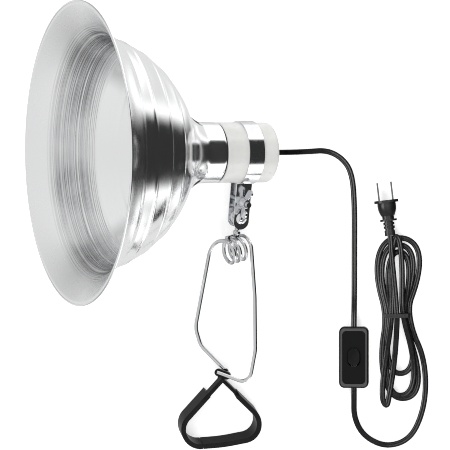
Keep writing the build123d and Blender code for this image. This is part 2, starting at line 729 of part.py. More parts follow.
cover_inside = SWITCH_H - SWITCH_SPLIT - SWITCH_TOP_WALL
with BuildPart() as switch_cover:
    with BuildSketch(switch_plane(SWITCH_SPLIT)):
        RectangleRounded(SWITCH_W, SWITCH_L, SWITCH_CORNER)
    extrude(amount=SWITCH_H - SWITCH_SPLIT - SWITCH_BEVEL)
    with BuildSketch(switch_plane(SWITCH_H - SWITCH_BEVEL)):
        RectangleRounded(SWITCH_W - 0.6, SWITCH_L - 0.6, SWITCH_CORNER - 0.3)
    extrude(amount=SWITCH_BEVEL, taper=50)
    with BuildSketch(switch_plane(SWITCH_H - 0.6)):
        RectangleRounded(PANEL_W, PANEL_L, SWITCH_CORNER - 1.0)
    extrude(amount=2, mode=Mode.SUBTRACT)
    with BuildSketch(switch_plane(SWITCH_SPLIT)):
        RectangleRounded(*SWITCH_INSIDE, SWITCH_CORNER - SWITCH_WALL)
    extrude(amount=cover_inside, mode=Mode.SUBTRACT)
    with BuildSketch(switch_plane(SWITCH_SPLIT)):
        with GridLocations(*SWITCH_POSTS, 2, 2):
            Circle(POST_R)
    extrude(amount=cover_inside)
    with BuildSketch(switch_plane(SWITCH_SPLIT)):
        with GridLocations(*SWITCH_POSTS, 2, 2):
            Circle(1.0)
    extrude(amount=4.5, mode=Mode.SUBTRACT)
    with BuildSketch(switch_plane(SWITCH_SPLIT)):
        SlotOverall(ROCKER_L + ROCKER_GAP, ROCKER_W + ROCKER_GAP, rotation=90)
    extrude(amount=20, mode=Mode.SUBTRACT)
    with Locations(switch_plane(SWITCH_SPLIT)):
        Cylinder(CORD_R, SWITCH_L + 4, rotation=(90, 0, 0), mode=Mode.SUBTRACT)
    # Pivot cheeks that hang beside the rocker, with the pin's seats in them
    with BuildSketch(switch_plane(SWITCH_SPLIT + 0.4)):
        with GridLocations(ROCKER_W + ROCKER_GAP + 1.6, 0, 2, 1):
            Rectangle(1.6, 6.0)
    extrude(amount=cover_inside - 0.3)
    with Locations(switch_plane(ROCKER_PIVOT_Z)):
        Cylinder(PIN_R + 0.06, ROCKER_W + 5.0, rotation=(0, 90, 0), mode=Mode.SUBTRACT)
save(switch_cover, "switch_cover")

rest = radians(ROCKER_REST_TILT)
rocker_axis_dir = Vector(*switch_x)
rocker_long = Vector(0, 0, 1).cross(rocker_axis_dir)
rocker_up = Vector(0, 0, 1) * cos(rest) + rocker_long * sin(rest)
rocker_plane = Plane(origin=(*SWITCH_CENTRE, ROCKER_PIVOT_Z), x_dir=switch_x, z_dir=rocker_up)
with BuildPart() as rocker:
    with BuildSketch(rocker_plane.offset(-1.9)):
        SlotOverall(ROCKER_L - 0.6, ROCKER_W - 0.2, rotation=90)
    extrude(amount=9.8)
    fillet(rocker.faces().sort_by(Axis((0, 0, 0), rocker_up))[-1].edges(), radius=0.8)
    with Locations(rocker_plane):
        Cylinder(PIN_R, ROCKER_W + 3.0, rotation=(0, 90, 0))
    with BuildSketch(rocker_plane.offset(-1.9)):
        SlotOverall(ROCKER_L - 3.8, ROCKER_W - 3.4, rotation=90)
    extrude(amount=0.8, mode=Mode.SUBTRACT)
save(rocker, "switch_rocker")

with BuildPart() as contact_bar:
    with BuildSketch(switch_plane(SWITCH_WALL)):
        with GridLocations(0, CONTACT_SPACING, 1, 2):
            Rectangle(5.0, 6.0)
    extrude(amount=CONTACT_T)
    with BuildSketch(switch_plane(SWITCH_WALL + CONTACT_T)):
        with GridLocations(0, CONTACT_SPACING, 1, 2):
            Circle(1.3)
    extrude(amount=1.2)
save(contact_bar, "switch_contacts")

with BuildPart() as switch_screws:
    with BuildSketch(switch_plane(1.0)):
        with GridLocations(*SWITCH_POSTS, 2, 2):
            Circle(0.95)
    extrude(amount=SWITCH_SPLIT + 2.0)
save(switch_screws, "switch_screws")


def lobe(outline, hole, radius, hole_radius):
    with BuildSketch(Plane.XY.offset(HANK_BASE)) as face:
        with BuildLine():
            FilletPolyline(*outline, radius=radius, close=True)
        make_face()
        with BuildLine():
            FilletPolyline(*hole, radius=hole_radius, close=True)
        make_face(mode=Mode.SUBTRACT)
    return face.sketch


with BuildPart() as hank:
    extrude(lobe(HANK_UPPER, HANK_UPPER_HOLE, 4.0, 2.5), amount=HANK_HEIGHT)
    extrude(lobe(HANK_LOWER, HANK_LOWER_HOLE, 3.0, 1.6), amount=HANK_HEIGHT)
save(hank, "cord_hank")

with BuildPart() as tie:
    tie_centre = (TIE_X, TIE_Y, HANK_BASE + HANK_HEIGHT / 2)
    with BuildSketch(Plane(origin=tie_centre, x_dir=(1, 0, 0), z_dir=(0, 1, 0))):
        RectangleRounded(2 * (TIE_HALF + TIE_T), HANK_HEIGHT + 2 * TIE_T, TIE_T)
        Rectangle(2 * TIE_HALF, HANK_HEIGHT, mode=Mode.SUBTRACT)
    extrude(amount=TIE_WIDTH / 2, both=True)
save(tie, "twist_tie")

# Plug: y runs from the cord towards the blades
plug_turn = radians(PLUG_YAW)
plug_y = Vector(-sin(plug_turn), cos(plug_turn), 0)
plug_x = Vector(cos(plug_turn), sin(plug_turn), 0)
plug_origin = Vector(*PLUG_CENTRE)


def plug_plane(y):
    return Plane(origin=plug_origin + plug_y * y, x_dir=plug_x, z_dir=plug_y)


plug_sections = [(-2.3, 16.6, 14.6), (-9.0, 16.2, 14.2), (-14.6, 12.0, 12.0)]
with BuildPart() as plug:
    with BuildSketch(plug_plane(-2.4)):
        RectangleRounded(22.2, 17.0, 7.4)
    extrude(amount=2.4)
    for back, width, height in plug_sections:
        with BuildSketch(plug_plane(back)):
            RectangleRounded(width, height, height * 0.42)
    loft()
    with BuildSketch(plug_plane(-18.4)):
        RectangleRounded(10.8, 10.0, 3.5)
    extrude(amount=3.9)
    with BuildSketch(plug_plane(-19.4)):
        RectangleRounded(15.4, 12.4, 5.0)
    extrude(amount=1.8)
    with BuildSketch(plug_plane(-33.0)):
        RectangleRounded(8.0, 7.4, 2.6)
    extrude(amount=14.0)
    for back in RIB_PLACES:
        with BuildSketch(plug_plane(back)):
            RectangleRounded(10.2, 9.0, 3.2)
        extrude(amount=2.3)
    with BuildSketch(plug_plane(-33.0)):
        RectangleRounded(9.6, 8.4, 3.0)
    extrude(amount=5.2)
    with BuildSketch(plug_plane(-BLADE_ROOT)):
        with GridLocations(BLADE_SPACING, 0, 2, 1):
            Rectangle(BLADE_T, BLADE_WIDTH)
    extrude(amount=BLADE_ROOT + 1.0, mode=Mode.SUBTRACT)
save(plug, "plug_body")

with BuildPart() as blades:
    with BuildSketch(plug_plane(-BLADE_ROOT)):
        with GridLocations(BLADE_SPACING, 0, 2, 1):
            Rectangle(BLADE_T, BLADE_WIDTH)
    extrude(amount=BLADE_ROOT + BLADE_LENGTH)
    tips = blades.faces().sort_by(Axis(plug_origin, plug_y))[-2:]
    chamfer([edge for tip in tips for edge in tip.edges().sort_by(SortBy.LENGTH)[:2]], length=1.2)
    with Locations(plug_plane(BLADE_LENGTH - 3.6)):
        with GridLocations(BLADE_SPACING, 0, 2, 1):
            Cylinder(1.6, 4, rotation=(0, 90, 0), mode=Mode.SUBTRACT)
save(blades, "plug_blades")

print("frames", "bolt", bolt_centre, bolt_dir, "ball", ball_centre, stud_dir)
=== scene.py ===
"""Clamp heat lamp on a bench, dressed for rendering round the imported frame.

Places are in metres in the frame's own axes, and outlines about the lamp's axis are in mm. Sections: places
from the joints, node helpers, stage, shape helpers, cords, reflector, socket, bracket and clamp, black parts.
"""
import json
from math import atan2, cos, exp, hypot, pi, radians, sin, tan

import bmesh
import bpy
from mathutils import Matrix, Vector


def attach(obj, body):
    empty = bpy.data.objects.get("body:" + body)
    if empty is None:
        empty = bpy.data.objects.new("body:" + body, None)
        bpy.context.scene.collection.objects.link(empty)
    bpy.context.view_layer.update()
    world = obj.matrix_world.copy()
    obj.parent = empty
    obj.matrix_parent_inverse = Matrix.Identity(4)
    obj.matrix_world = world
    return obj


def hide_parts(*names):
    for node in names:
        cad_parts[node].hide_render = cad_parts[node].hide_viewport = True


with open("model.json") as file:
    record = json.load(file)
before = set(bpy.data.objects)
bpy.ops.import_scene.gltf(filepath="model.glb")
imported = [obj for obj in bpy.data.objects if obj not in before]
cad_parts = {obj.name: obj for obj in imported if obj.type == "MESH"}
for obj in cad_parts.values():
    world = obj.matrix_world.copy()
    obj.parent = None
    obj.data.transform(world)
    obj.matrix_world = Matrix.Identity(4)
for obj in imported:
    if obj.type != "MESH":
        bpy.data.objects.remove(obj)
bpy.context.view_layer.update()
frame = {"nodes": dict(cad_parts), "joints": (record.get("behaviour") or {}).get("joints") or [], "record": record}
nodes = frame["nodes"]
joints = {joint["name"]: joint for joint in frame["joints"]}
slots = {part["node"]: part["material_slot"] for part in frame["record"]["subparts"]}

MM = 0.001


def joint_line(name):
    """A hinge's point and its axis."""
    joint = joints[name]
    return Vector(joint["pos_m"]), Vector(joint["axis"]).normalized()


# ---------------------------------------------------------------- places from the joints
STRAP_S = 165.0
strap_centre, axis_back = joint_line("bracket_turn")
rim_centre = strap_centre - axis_back * STRAP_S * MM
side = Vector((0, 1, 0))
lamp_up = axis_back.cross(side) * -1
if lamp_up.z < 0:
    lamp_up = -lamp_up
bolt_centre, bolt_dir = joint_line("nut_spin")
coil_centre, _ = joint_line("left_arm_squeeze")


def lamp_point(s, r, turn):
    """A point s mm behind the rim plane and r mm from the lamp's axis, turn round from the +Y side."""
    return rim_centre + axis_back * (s * MM) + (side * cos(turn) + lamp_up * sin(turn)) * (r * MM)


# ---------------------------------------------------------------- node helpers
# The colour sockets of a Mix node
MIX_FIRST = 6
MIX_SECOND = 7
MIX_RESULT = 2


class Nodes:
    """A node tree, with short calls for the nodes used here."""

    def __init__(self, tree):
        self.tree = tree

    def link(self, source, target):
        self.tree.links.new(source, target)

    def math(self, operation, first, second=0.0):
        node = self.tree.nodes.new("ShaderNodeMath")
        node.operation = operation
        for slot, value in enumerate((first, second)):
            if isinstance(value, (int, float)):
                node.inputs[slot].default_value = value
            else:
                self.link(value, node.inputs[slot])
        return node.outputs[0]

    def ramp(self, value, low, high, start=0.0, end=1.0, shape="LINEAR"):
        """Runs from low to high as the value runs from start to end, and stays level outside them."""
        node = self.tree.nodes.new("ShaderNodeMapRange")
        node.interpolation_type = shape
        for name, number in (("From Min", start), ("From Max", end), ("To Min", low), ("To Max", high)):
            node.inputs[name].default_value = number
        self.link(value, node.inputs["Value"])
        return node.outputs["Result"]

    def step(self, value, start, end):
        return self.ramp(value, 0.0, 1.0, start, end, "SMOOTHSTEP")


class Shader(Nodes):
    """A new material and its Principled shader."""

    def __init__(self, name):
        self.material = bpy.data.materials.new(name)
        self.material.use_nodes = True
        super().__init__(self.material.node_tree)
        self.bsdf = self.tree.nodes["Principled BSDF"]
        self.coords = self.tree.nodes.new("ShaderNodeTexCoord").outputs["Object"]

    def set(self, **values):
        for key, value in values.items():
            self.bsdf.inputs[key.replace("_", " ")].default_value = value
        return self

    def along(self, origin, direction):
        """Distance of a point from origin along direction."""
        shift = self.tree.nodes.new("ShaderNodeVectorMath")
        shift.operation = "SUBTRACT"
        self.link(self.coords, shift.inputs[0])
        shift.inputs[1].default_value = origin
        dot = self.tree.nodes.new("ShaderNodeVectorMath")
        dot.operation = "DOT_PRODUCT"
        self.link(shift.outputs[0], dot.inputs[0])
        dot.inputs[1].default_value = direction
        return dot.outputs["Value"]

    def stretched(self, scale):
        mapping = self.tree.nodes.new("ShaderNodeMapping")
        mapping.inputs["Scale"].default_value = scale
        self.link(self.coords, mapping.inputs["Vector"])
        return mapping.outputs[0]

    def noise(self, scale, detail, roughness, vector=None):
        node = self.tree.nodes.new("ShaderNodeTexNoise")
        node.inputs["Scale"].default_value = scale
        node.inputs["Detail"].default_value = detail
        node.inputs["Roughness"].default_value = roughness
        self.link(vector or self.coords, node.inputs["Vector"])
        return node.outputs["Fac"]

    def mix(self, factor, first, second):
        node = self.tree.nodes.new("ShaderNodeMix")
        node.data_type = "RGBA"
        self.link(factor, node.inputs[0])
        node.inputs[MIX_FIRST].default_value = (*first, 1.0)
        node.inputs[MIX_SECOND].default_value = (*second, 1.0)
        return node.outputs[MIX_RESULT]

    def bump(self, height, distance, strength):
        node = self.tree.nodes.new("ShaderNodeBump")
        node.inputs["Strength"].default_value = strength
        node.inputs["Distance"].default_value = distance
        self.link(height, node.inputs["Height"])
        return node.outputs["Normal"]

    def use(self, color=None, roughness=None, normal=None):
        if color is not None:
            self.link(color, self.bsdf.inputs["Base Color"])
        if roughness is not None:
            self.link(roughness, self.bsdf.inputs["Roughness"])
        if normal is not None:
            self.link(normal, self.bsdf.inputs["Normal"])
        return self.material


SCRATCH_SCALE = 1500.0
SCRATCH_STRETCH = (1.0, 0.1, 1.0)
SCRATCH_DEPTH = 0.000008
UNEVEN_SCALE = 140.0
PLASTIC_SHEEN = 0.16


def plated_steel(name, tint, roughness, scale=180.0, wear=0.12):
    """Plated steel: an almost even tint, with faint clouds in its gloss and fine scratches."""
    shader = Shader(name).set(Metallic=1.0)
    cloud = shader.noise(scale, 4.0, 0.6)
    scratch = shader.noise(SCRATCH_SCALE, 2.0, 0.5, shader.stretched(SCRATCH_STRETCH))
    darker = tuple(channel * (1 - wear) for channel in tint)
    color = shader.mix(shader.ramp(cloud, 0.0, 1.0, 0.35, 0.75), tint, darker)
    rough = shader.ramp(cloud, roughness * 0.8, roughness * 1.3, 0.3, 0.7)
    return shader.use(color, rough, shader.bump(scratch, SCRATCH_DEPTH, 0.4))


def moulded(name, tint, roughness, grain, scale=1600.0):
    """Moulded plastic or rubber: an even tint with a fine grain and slightly uneven gloss."""
    shader = Shader(name).set(Specular_IOR_Level=PLASTIC_SHEEN)
    fine = shader.noise(scale, 2.0, 0.5)
    broad = shader.noise(UNEVEN_SCALE, 3.0, 0.5)
    lighter = tuple(min(1.0, channel * 1.5 + 0.004) for channel in tint)
    color = shader.mix(shader.ramp(broad, 0.0, 1.0, 0.3, 0.75), tint, lighter)
    rough = shader.ramp(broad, roughness * 0.85, roughness * 1.2, 0.3, 0.7)
    return shader.use(color, rough, shader.bump(fine, grain, 0.6))


# ---------------------------------------------------------------- stage, light and camera
LOOK_AT = Vector((0.0665, 0.0045, 0.0))
CAMERA_REACH = 1.783
CAMERA_TILT = radians(5.3)
CAMERA_ROLL = radians(1.3)
CAMERA_LENS = 152.8
SENSOR_WIDTH = 36.0
FLOOR_REACH = 6.0
FLOOR_DROP = 0.0002
FLOOR_TINT = (0.7, 0.7, 0.7, 1.0)
FLOOR_GLOW = 0.55

# The studio round the lamp. Turns run from straight up towards +X and on down. Widths, and places across,
# are the sine of the angle to each side.
TENT_MIDDLE = 0.8
SIDE_TURNS = (radians(-125), radians(-65))
SIDE_LEVELS = (0.32, 0.85)
SIDE_ACROSS = (0.2, 0.85)
FLANK = 0.5
FLANK_TURNS = (radians(45), radians(58), radians(176), radians(160))
FLANK_ACROSS = (0.55, 0.75)
GAP_START = radians(34)
GAP_START_SOFT = 0.25
GAP_TURNS = (radians(60), radians(100), radians(146))
GAP_WIDTHS = (0.68, 0.38, 0.16)
GAP_END = radians(168)
GAP_END_SOFT = 0.2
GAP_SOFT = 0.07
GAP_LEVEL = 0.04
HALO_TURNS = (radians(60), radians(95))
HALO_REACH = (0.55, 0.26)
HALO_LEVELS = (1.2, 0.4)
HALO_FADE = (1.0, 0.4)
HALO_EDGE = (0.0, 0.08)

SOFT_LAMPS = (("key", (-0.9, 1.2, 1.6), 1.0, 26.0), ("fill", (0.6, -1.5, 1.6), 1.2, 18.0))
STRIP_PLACE = (-1.25, -0.1, 2.1)
STRIP_SIZE = (0.7, 3.0)
STRIP_POWER = 95.0


def add_object(name, data):
    made = bpy.data.objects.new(name, data)
    bpy.context.scene.collection.objects.link(made)
    return made


def build_camera():
    back = Vector((sin(CAMERA_TILT), 0, cos(CAMERA_TILT)))
    level = Vector((cos(CAMERA_TILT), 0, -sin(CAMERA_TILT)))
    right = level * cos(CAMERA_ROLL) - Vector((0, 1, 0)) * sin(CAMERA_ROLL)
    up = level * sin(CAMERA_ROLL) + Vector((0, 1, 0)) * cos(CAMERA_ROLL)
    data = bpy.data.cameras.new("camera")
    data.sensor_width = SENSOR_WIDTH
    data.lens = CAMERA_LENS
    camera = add_object("camera", data)
    turn = Matrix((right, up, back)).transposed().to_4x4()
    camera.matrix_world = Matrix.Translation(LOOK_AT + back * CAMERA_REACH) @ turn
    bpy.context.scene.camera = camera


def build_floor():
    mesh = bpy.data.meshes.new("floor")
    corners = [(x * FLOOR_REACH, y * FLOOR_REACH, 0) for x, y in ((-1, -1), (1, -1), (1, 1), (-1, 1))]
    mesh.from_pydata(corners, [], [(0, 1, 2, 3)])
    floor = add_object("floor", mesh)
    floor.location.z = -FLOOR_DROP
    shader = Shader("floor_paper").set(Base_Color=FLOOR_TINT, Roughness=0.9)
    shader.set(Emission_Color=(1.0, 1.0, 1.0, 1.0), Emission_Strength=FLOOR_GLOW)
    mesh.materials.append(shader.material)
    # Seen and lit as usual, but mirrors on the lamp show the studio behind it instead
    floor.visible_glossy = False


def build_world():
    """A white tent, with a dark gap in it that the polished metal shows as a dark band."""
    world = bpy.data.worlds.new("studio")
    world.use_nodes = True
    bpy.context.scene.world = world
    studio = Nodes(world.node_tree)
    background = studio.tree.nodes["Background"]
    split = studio.tree.nodes.new("ShaderNodeSeparateXYZ")
    studio.link(studio.tree.nodes.new("ShaderNodeTexCoord").outputs["Generated"], split.inputs[0])
    across = studio.math("ABSOLUTE", split.outputs["Y"])
    turned = studio.math("ARCTAN2", split.outputs["X"], split.outputs["Z"])

    # The gap, narrowing in two runs
    width = studio.math("SUBTRACT", studio.ramp(turned, *GAP_WIDTHS[:2], *GAP_TURNS[:2]),
                        studio.ramp(turned, 0.0, GAP_WIDTHS[1] - GAP_WIDTHS[2], *GAP_TURNS[1:]))
    beyond = studio.math("SUBTRACT", across, width)
    opened = studio.math("MULTIPLY", studio.step(turned, GAP_START, GAP_START + GAP_START_SOFT),
                         studio.step(turned, GAP_END, GAP_END - GAP_END_SOFT))
    gap = studio.math("MULTIPLY", studio.step(beyond, GAP_SOFT, -GAP_SOFT), opened)

    # A brighter halo just beyond the gap's edges
    outside = studio.math("DIVIDE", beyond, studio.ramp(turned, *HALO_REACH, *HALO_TURNS))
    halo = studio.math("MULTIPLY", studio.step(outside, *HALO_FADE), studio.step(beyond, *HALO_EDGE))
    halo = studio.math("MULTIPLY", studio.math("MULTIPLY", halo, opened),
                       studio.ramp(turned, *HALO_LEVELS, *HALO_TURNS))

    # The tent, going over from its middle level to that of its sides, with a brighter flank
    sides = studio.ramp(turned, *SIDE_LEVELS, *SIDE_TURNS)
    outward = studio.ramp(across, 0.0, 1.0, *SIDE_ACROSS)
    tent = studio.math("MULTIPLY", studio.math("SUBTRACT", sides, TENT_MIDDLE), outward)
    tent = studio.math("ADD", tent, TENT_MIDDLE)
    flank = studio.math("MULTIPLY", studio.step(across, *FLANK_ACROSS), studio.step(turned, *FLANK_TURNS[:2]))
    flank = studio.math("MULTIPLY", flank, studio.step(turned, *FLANK_TURNS[2:]))
    tent = studio.math("ADD", studio.math("ADD", tent, halo), studio.math("MULTIPLY", flank, FLANK))

    left_lit = studio.math("SUBTRACT", 1.0, studio.math("MULTIPLY", gap, 1.0 - GAP_LEVEL))
    studio.link(studio.math("MULTIPLY", tent, left_lit), background.inputs["Strength"])
    background.inputs["Color"].default_value = (1.0, 1.0, 1.0, 1.0)


def add_light(name, place, power, shape, width, length):
    """An area light that faces the lamp."""
    data = bpy.data.lights.new(name, "AREA")
    data.shape = shape
    data.size = width
    data.size_y = length
    data.energy = power
    light = add_object(name, data)
    light.location = place
    light.rotation_euler = (Vector(place) - LOOK_AT).to_track_quat("Z", "Y").to_euler()
    return light


def build_lights():
    """Two soft lamps, and a strip along Y whose reflection draws the light lines on the glossy pieces."""
    for name, place, size, power in SOFT_LAMPS:
        add_light(name, place, power, "DISK", size, size).visible_glossy = False
    strip = add_light("strip", STRIP_PLACE, STRIP_POWER, "RECTANGLE", *STRIP_SIZE)
    strip.light_linking.receiver_collection = glossy_pieces


glossy_pieces = bpy.data.collections.new("glossy_pieces")
build_camera()
build_floor()
build_world()
build_lights()
bpy.context.scene.view_settings.view_transform = "Standard"
bpy.context.scene.cycles.filter_width = 1.0


# ---------------------------------------------------------------- shape helpers
GLOSSY_SLOTS = ("cord_black", "plug_black", "tie_black")


def finish(piece, body, slot, material, stands_for=()):
    """Gives a piece its material and its body, puts it among the glossy pieces when its slot is glossy, and hides
    the nodes that it stands for.
    """
    if slot in GLOSSY_SLOTS:
        glossy_pieces.objects.link(piece)
    if material is not None:
        piece.data.materials.clear()
        piece.data.materials.append(material)
    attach(piece, body)
    if stands_for:
        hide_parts(*stands_for)


def dress(material, *names):
    """Puts a material on CAD nodes that keep their own shape."""
    for name in names:
        mesh = nodes[name].data
        mesh.materials.clear()
        mesh.materials.append(material)
        if slots[name] in GLOSSY_SLOTS:
            glossy_pieces.objects.link(nodes[name])


def smooth(mesh, angle=40.0):
    mesh.shade_smooth()
    mesh.set_sharp_from_angle(angle=radians(angle))


def apply_modifiers(piece):
    """Replaces a piece's mesh by its mesh with the modifiers applied."""
    bpy.context.view_layer.update()
    mesh = bpy.data.meshes.new_from_object(piece.evaluated_get(bpy.context.evaluated_depsgraph_get()))
    piece.modifiers.clear()
    piece.data = mesh


def cut_away(piece, cutter):
    """Takes the cutter's shape out of a piece, and the cutter out of the scene."""
    cut = piece.modifiers.new("cut", "BOOLEAN")
    cut.operation = "DIFFERENCE"
    cut.solver = "EXACT"
    cut.object = cutter
    apply_modifiers(piece)
    bpy.data.objects.remove(cutter)


def face_outwards(mesh):
    bm = bmesh.new()
    bm.from_mesh(mesh)
    bmesh.ops.recalc_face_normals(bm, faces=bm.faces)
    bm.to_mesh(mesh)
    bm.free()


def turned_mesh(name, outline, segments):
    """A body of revolution about the lamp's axis from a closed (s, r) outline in mm.

    UV runs along the outline in u and round the axis in v.
    """
    rows = len(outline)
    vertices = [lamp_point(s, r, 2 * pi * turn / segments) for s, r in outline for turn in range(segments)]
    lengths = [0.0]
    for (s0, r0), (s1, r1) in zip(outline, outline[1:]):
        lengths.append(lengths[-1] + hypot(s1 - s0, r1 - r0))
    faces = []
    uvs = []
    for row in range(rows):
        below = (row + 1) % rows
        u0 = lengths[row] / lengths[-1]
        u1 = lengths[below] / lengths[-1] if below else 1.0 + 1.0 / rows
        for turn in range(segments):
            after = (turn + 1) % segments
            faces.append((row * segments + turn, row * segments + after,
                          below * segments + after, below * segments + turn))
            v0 = turn / segments
            v1 = (turn + 1) / segments
            uvs += [(u0, v0), (u0, v1), (u1, v1), (u1, v0)]
    mesh = bpy.data.meshes.new(name)
    mesh.from_pydata(vertices, [], faces)
    layer = mesh.uv_layers.new(name="UVMap")
    for loop, uv in enumerate(uvs):
        layer.data[loop].uv = uv
    face_outwards(mesh)
    return mesh


# ---------------------------------------------------------------- cords
CORD_STEPS = 7
CORE_STEPS = 7
CORE_START = -120
CORE_SWEEP = 240
CORD_WIDTH = 5.2 * MM
CORD_T = 2.7 * MM

CORD_TO_SWITCH = [
    (0.1103, 0.0703, 0.0219),
    (0.1268, 0.0703, 0.0124),
    (0.1455, 0.0708, 0.0030),
    (0.1632, 0.0718, 0.0016),
    (0.1773, 0.0641, 0.0015),
    (0.1859, 0.0502, 0.0015),
    (0.1877, 0.0220, 0.0015),
    (0.1864, -0.0260, 0.0015),
    (0.1856, -0.0620, 0.0028),
    (0.1849, -0.0830, 0.0059),
    (0.1846, -0.0931, 0.0060),
]
CORD_TO_HANK = [
    (0.1834, -0.1473, 0.0060),
    (0.1832, -0.1580, 0.0058),
    (0.1826, -0.1770, 0.0024),
    (0.1915, -0.1945, 0.0015),
    (0.2120, -0.2045, 0.0015),
    (0.2340, -0.1975, 0.0015),
    (0.2460, -0.1740, 0.0015),
    (0.2502, -0.1460, 0.0015),
    (0.2474, -0.1190, 0.0016),
    (0.2382, -0.0976, 0.0022),
]
HANK_TO_PLUG = [
    (0.2246, -0.0826, 0.0132),
    (0.2236, -0.0640, 0.0120),
    (0.2218, -0.0400, 0.0100),
    (0.2203, -0.0200, 0.0088),
    (0.2200, -0.0089, 0.0086),
]

# The hank's lobes in mm, each from the tie and back: x at the tie on the way out and back, the
# far end's x and y, x of the two sides, and z at the tie, at the far end and back at the tie
TIE_Y = -82.6
LOBES = [
    ((230.5, 216.2), (227.0, -10.6), (246.6, 207.6), (3.0, 1.5, 3.0)),
    ((216.2, 227.8), (228.0, -160.0), (210.6, 243.0), (3.0, 1.5, 3.0)),
    ((227.8, 219.0), (226.5, -17.0), (240.6, 211.6), (3.0, 1.5, 5.7)),
    ((219.0, 229.4), (226.0, -136.5), (215.4, 238.0), (5.7, 4.0, 5.8)),
    ((229.4, 221.2), (227.5, -23.6), (236.6, 217.4), (5.8, 1.8, 8.2)),
    ((221.2, 228.6), (226.0, -157.0), (213.8, 239.0), (8.2, 4.2, 8.7)),
    ((228.6, 220.4), (225.4, -9.4), (230.0, 221.0), (8.7, 7.6, 11.0)),
    ((220.4, 224.6), (213.6, -165.6), (210.4, 218.6), (11.0, 5.2, 13.2)),
]
LOBE_STEPS = 14
ROUNDNESS = 0.85


def lobe(at_tie, far_end, sides, heights):
    """Points of one lobe: out from the tie, round its far end and back, each half bulging to its side."""
    def crossing(part):
        return at_tie[0] * (1 - part) + at_tie[1] * part

    lean = far_end[0] - sum(at_tie) / 2
    bulges = [edge - crossing(part) - lean / 2 for edge, part in zip(sides, (0.25, 0.75))]
    points = []
    for step in range(LOBE_STEPS):
        part = (step + 0.5) / LOBE_STEPS
        reach = sin(pi * part)
        bulge = bulges[0] if part < 0.5 else bulges[1]
        x = crossing(part) + lean * reach ** 2 + bulge * abs(sin(2 * pi * part)) ** ROUNDNESS
        lift = (1 - reach) ** 3
        z = (heights[0] * (1 - part) + heights[2] * part) * lift + heights[1] * (1 - lift)
        points.append((x * MM, (TIE_Y + (far_end[1] - TIE_Y) * reach) * MM, z * MM))
    return points


CORD_TO_PLUG = CORD_TO_HANK + [point for shape in LOBES for point in lobe(*shape)] + HANK_TO_PLUG


def twin_section():
    """The cord's cross-section: two round cores side by side with a groove between them."""
    data = bpy.data.curves.new("twin_section", "CURVE")
    data.dimensions = "2D"
    spline = data.splines.new("POLY")
    core = CORD_T / 2
    centre = CORD_WIDTH / 2 - core
    turns = [radians(CORE_START + CORE_SWEEP * step / CORE_STEPS) for step in range(CORE_STEPS + 1)]
    right = [(centre + core * cos(turn), core * sin(turn)) for turn in turns]
    outline = right + [(-x, -y) for x, y in right]
    spline.points.add(len(outline) - 1)
    for target, (x, y) in zip(spline.points, outline):
        target.co = (x, y, 0, 1)
    spline.use_cyclic_u = True
    section = add_object("twin_section", data)
    section.hide_render = True
    return section


def build_cord(name, points, section, material, stands_for):
    data = bpy.data.curves.new(name, "CURVE")
    data.dimensions = "3D"
    data.resolution_u = CORD_STEPS
    spline = data.splines.new("NURBS")
    spline.points.add(len(points) - 1)
    for target, point in zip(spline.points, points):
        target.co = (*point, 1.0)
    spline.order_u = 3
    spline.use_endpoint_u = True
    spline.use_smooth = True
    data.twist_mode = "Z_UP"
    data.bevel_mode = "OBJECT"
    data.bevel_object = section
    data.use_fill_caps = True
    cord = add_object(name, data)
    finish(cord, "lamp", "cord_black", material, stands_for)
    return cord


cord_vinyl = moulded("cord_vinyl", (0.002, 0.002, 0.0021), 0.18, 0.0)
section = twin_section()
lamp_cord = build_cord("lamp_cord", CORD_TO_SWITCH, section, cord_vinyl, ["cord_lamp_to_switch"])
plug_cord = build_cord("plug_cord", CORD_TO_PLUG, section, cord_vinyl, ["cord_switch_to_hank", "cord_hank"])


# ---------------------------------------------------------------- reflector
# The sheet's outer face, as arcs through (s, r) points from the rim to the collar
RIM_R = 133.35
BRIM_MIDDLE = (12.0, 117.6)
BRIM_BASE = (27.0, 104.0)
DOME_MIDDLE = (61.0, 87.4)
DOME_END = (98.0, 44.0)
NECK_MIDDLE = (106.0, 35.0)
NECK_END = (118.0, 28.0)
COLLAR_END = 136.0
COLLAR_R = 27.6
COLLAR_HOLE_R = 17.8
SHEET = 0.8
BEAD_R = 1.0
BEAD_STEPS = 14
BEAD_START = 250
BEAD_SWEEP = 320
RINGS = (24.5, 38.5, 55.0, 72.0)
RING_PROUD = 0.55
RING_WIDTH = 1.5
RING_CLEAR = 1.6
GROOVE_START = 14.0
GROOVE_END = 57.0
GROOVE_FADE = 3.0
GROOVE_PITCH = 1.45
GROOVE_DEPTH = 0.26
REFLECTOR_SEGMENTS = 224
ROW_STEP = 0.36
NECK_STEP = 1.2
COLLAR_STEP = 2


def arc_rows(start, middle, end, step):
    """Points about step apart on the arc through three (s, r) points, without its last point."""
    ax, ay = start
    bx, by = middle
    cx, cy = end
    d = 2 * (ax * (by - cy) + bx * (cy - ay) + cx * (ay - by))
    centre_x = ((ax**2 + ay**2) * (by - cy) + (bx**2 + by**2) * (cy - ay) + (cx**2 + cy**2) * (ay - by)) / d
    centre_y = ((ax**2 + ay**2) * (cx - bx) + (bx**2 + by**2) * (ax - cx) + (cx**2 + cy**2) * (bx - ax)) / d
    radius = hypot(ax - centre_x, ay - centre_y)
    first = atan2(ay - centre_y, ax - centre_x)
    sweep = atan2(cy - centre_y, cx - centre_x) - first
    sweep = (sweep + pi) % (2 * pi) - pi
    rows = max(2, round(abs(sweep) * radius / step))
    turns = [first + sweep * row / rows for row in range(rows)]
    return [(centre_x + radius * cos(turn), centre_y + radius * sin(turn)) for turn in turns]


